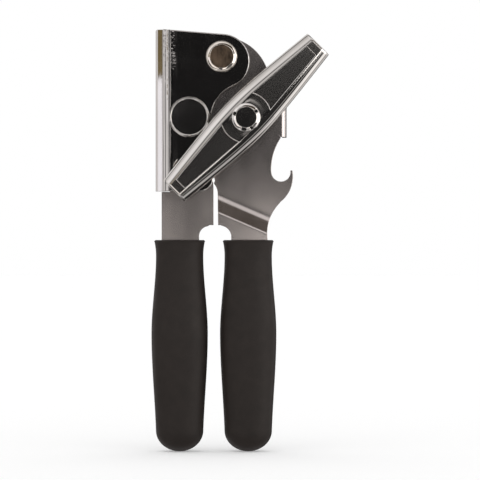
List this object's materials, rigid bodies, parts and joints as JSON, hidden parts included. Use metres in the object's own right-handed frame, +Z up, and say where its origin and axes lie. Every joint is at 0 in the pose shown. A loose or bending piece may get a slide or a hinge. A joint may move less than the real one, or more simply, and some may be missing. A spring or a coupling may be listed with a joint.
{
  "type": "manual can opener",
  "caption": "Hand-held can opener with a turning crank key, a geared cutting wheel and feed wheel, a cap-lifter notch and two soft grips.",
  "frame": {"origin": "centre of the footprint, at the lower ends of the grips", "axes": "+Z up along the grips, +X to the right as seen from the crank side, +Y towards the cutting wheel"},
  "size_m": [0.0797, 0.0246, 0.1902],
  "materials": {
    "chromed_sheet": "polished",
    "brushed_plate": "satin",
    "grip_rubber": "matte",
    "bright_head": "polished",
    "pivot_disc": "satin",
    "crank_chrome": "polished",
    "plain_steel": "satin",
    "gear_steel": "satin",
    "wheel_steel": "ground"
  },
  "bodies": {
    "cutter_side": {"cover_plate": "chromed_sheet", "left_handle_strip": "brushed_plate", "left_grip": "grip_rubber", "pivot_bushing": "bright_head", "pivot_rivet": "pivot_disc", "pivot_spring_washer": "plain_steel", "pivot_back_washer": "plain_steel", "cutter_stud": "bright_head", "cutter_spacer": "plain_steel", "cutter_retainer": "plain_steel"},
    "feed_side": {"right_handle_plate": "brushed_plate", "right_grip": "grip_rubber", "crank_bushing": "plain_steel"},
    "crank_set": {"crank": "crank_chrome", "crank_shaft": "bright_head", "crank_collar": "plain_steel", "crank_thrust_washer": "plain_steel", "feed_gear": "gear_steel", "feed_wheel": "wheel_steel", "feed_retainer": "plain_steel"},
    "cutter_set": {"cutter_gear": "gear_steel", "cutter_hub": "plain_steel", "cutting_wheel": "wheel_steel"}
  },
  "joints": [
    {"name": "handle_pivot", "type": "hinge", "parent": "cutter_side", "child": "feed_side", "pos_m": [-0.0083, 0, 0.1778], "axis": [0, -1, 0], "range_deg": [0, 45]},
    {"name": "crank_spin", "type": "hinge", "parent": "feed_side", "child": "crank_set", "pos_m": [0.0027, 0, 0.15], "axis": [0, -1, 0], "continuous": true},
    {"name": "cutter_spin", "type": "hinge", "parent": "cutter_side", "child": "cutter_set", "pos_m": [-0.0229, 0, 0.1506], "axis": [0, -1, 0], "continuous": true}
  ],
  "couplings": [
    {"joint": "cutter_spin", "follows": "crank_spin", "ratio": -1}
  ]
}
